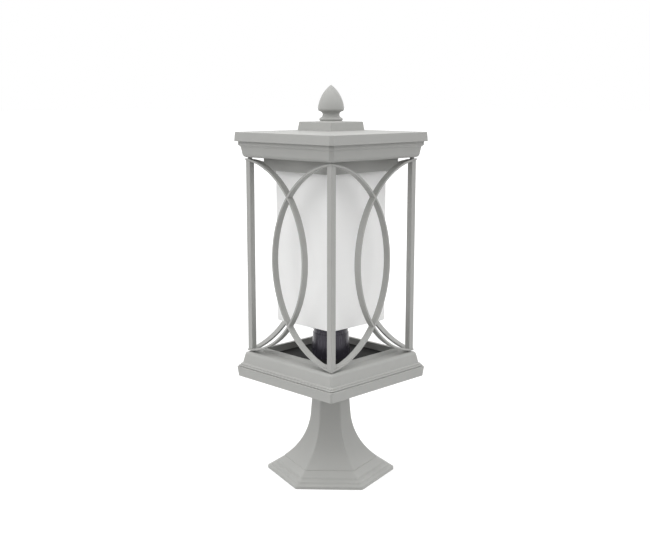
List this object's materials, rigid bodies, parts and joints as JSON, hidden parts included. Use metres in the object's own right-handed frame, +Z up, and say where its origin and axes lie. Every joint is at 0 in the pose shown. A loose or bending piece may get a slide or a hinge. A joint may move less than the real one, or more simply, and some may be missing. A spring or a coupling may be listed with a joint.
{
  "type": "pillar top light",
  "caption": "Square lantern with bowed metal grilles around an opal shade, a flat roof with a bud finial, and a six-sided flared pedestal for the top of a gate pillar.",
  "frame": {"origin": "centre of the pedestal foot's underside, on the surface it stands on", "axes": "+Z up along the lamp's axis; the lantern's four sides face +X, -X, +Y and -Y, and its front corner points to +X, -Y"},
  "size_m": [0.1744, 0.1744, 0.5],
  "materials": {
    "grey_paint": "light warm-grey powder coat, low sheen, fine texture",
    "opal_shade": "opal white moulded shade, soft gloss",
    "black_gloss": "glossy black moulded lampholder",
    "black_matte": "matte black plate under the lampholder",
    "zinc_steel": "zinc-plated steel",
    "brass": "plain brass",
    "gasket_rubber": "soft black rubber",
    "terminal_white": "white moulded terminal block",
    "lead_brown": "brown wire sleeve",
    "lead_blue": "blue wire sleeve",
    "lead_green": "green wire sleeve"
  },
  "bodies": {
    "root": {"corner_post_back": "grey_paint", "corner_post_front": "grey_paint", "corner_post_left": "grey_paint", "corner_post_right": "grey_paint", "crown_frame": "grey_paint", "earth_lead": "lead_green", "earth_screw": "zinc_steel", "earth_tag": "brass", "finial": "grey_paint", "finial_washer": "zinc_steel", "grille_back_left": "grey_paint", "grille_back_right": "grey_paint", "grille_front_left": "grey_paint", "grille_front_right": "grey_paint", "lamp_plate": "black_matte", "lamp_plate_screws": "zinc_steel", "lampholder_body": "black_gloss", "lampholder_contact": "brass", "lampholder_cup": "black_gloss", "lampholder_nipple": "zinc_steel", "lampholder_nut": "zinc_steel", "lampholder_thread": "brass", "live_lead": "lead_brown", "mounting_strap": "zinc_steel", "neutral_lead": "lead_blue", "pedestal": "grey_paint", "post_screws_lower": "zinc_steel", "post_screws_upper": "zinc_steel", "roof_bridge": "zinc_steel", "roof_bridge_screws": "zinc_steel", "roof_cap": "grey_paint", "roof_stud": "zinc_steel", "roof_stud_nuts": "zinc_steel", "shade": "opal_shade", "shade_gasket": "gasket_rubber", "shade_ring": "grey_paint", "shade_ring_screws": "zinc_steel", "terminal_block": "terminal_white", "terminal_block_screws": "zinc_steel", "terminal_screws": "brass", "tie_rod": "zinc_steel", "tie_rod_nuts": "zinc_steel", "tie_rod_washer": "zinc_steel", "tray": "grey_paint"}
  },
  "joints": []
}
